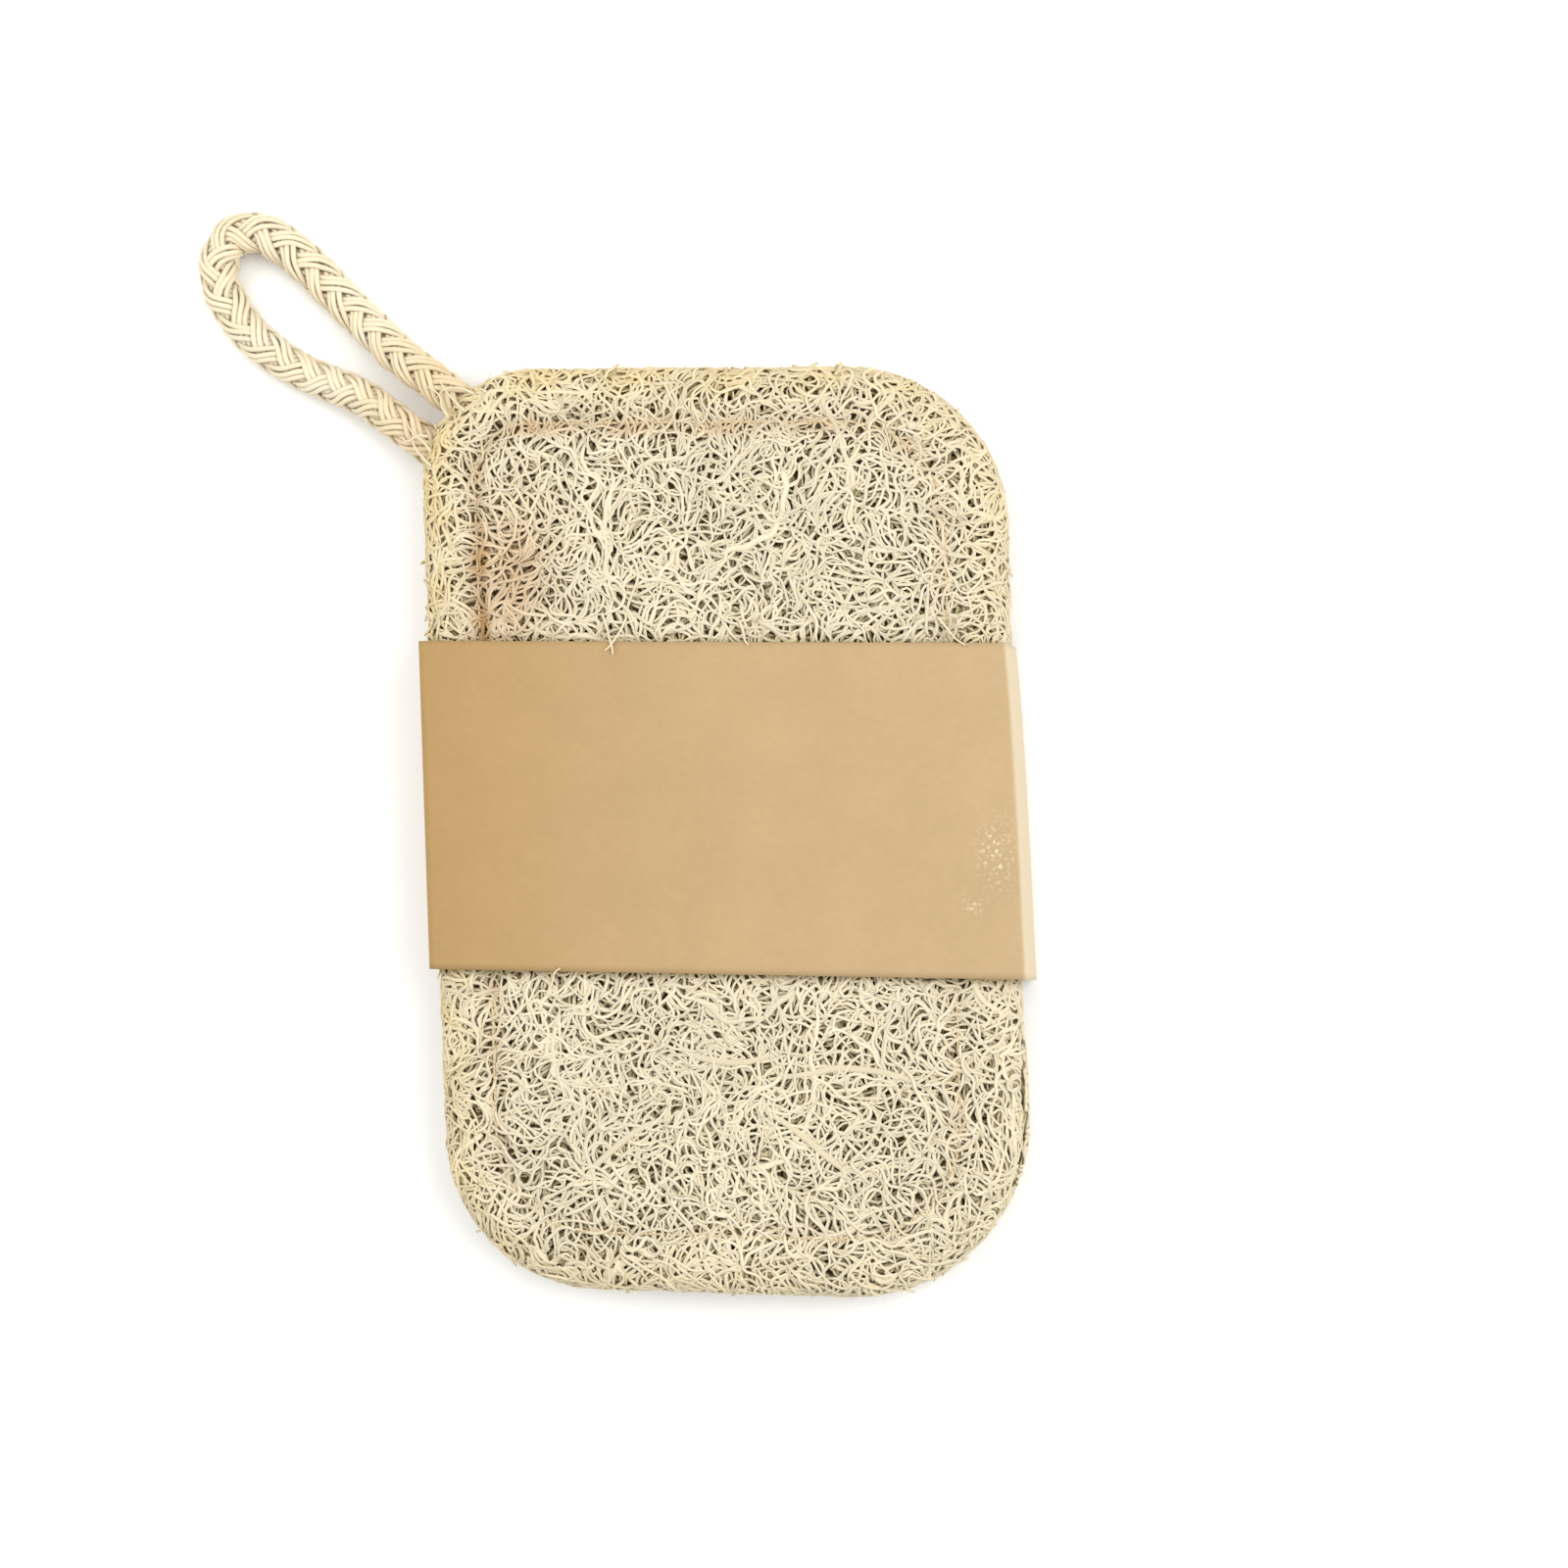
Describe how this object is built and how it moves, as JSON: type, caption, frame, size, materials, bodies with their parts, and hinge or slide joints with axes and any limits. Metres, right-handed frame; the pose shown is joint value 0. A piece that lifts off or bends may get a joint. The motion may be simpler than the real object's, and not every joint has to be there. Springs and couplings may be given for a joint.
{
  "type": "loofah scrub pad",
  "caption": "Flat scrub pad of two pressed loofah fibre layers sewn together all round, with a braided cotton hanging loop at one corner and a plain kraft paper band.",
  "frame": {"origin": "on the table under the middle of the pad and its band, the cord loop left out", "axes": "+X to the right of the front face, +Y along the pad towards the end with the cord loop, +Z out of the front face"},
  "size_m": [0.105, 0.1301, 0.0121],
  "materials": {
    "loofah_fibre": "matt dry plant fibre, a net of curved strands",
    "seam_thread": "matt spun thread",
    "cotton_cord": "matt braided cotton",
    "kraft_paper": "matt brown kraft paper"
  },
  "bodies": {
    "root": {"front_layer": "loofah_fibre", "back_layer": "loofah_fibre", "needle_thread": "seam_thread", "bobbin_thread": "seam_thread", "hanging_loop": "cotton_cord", "paper_band": "kraft_paper"}
  },
  "joints": []
}
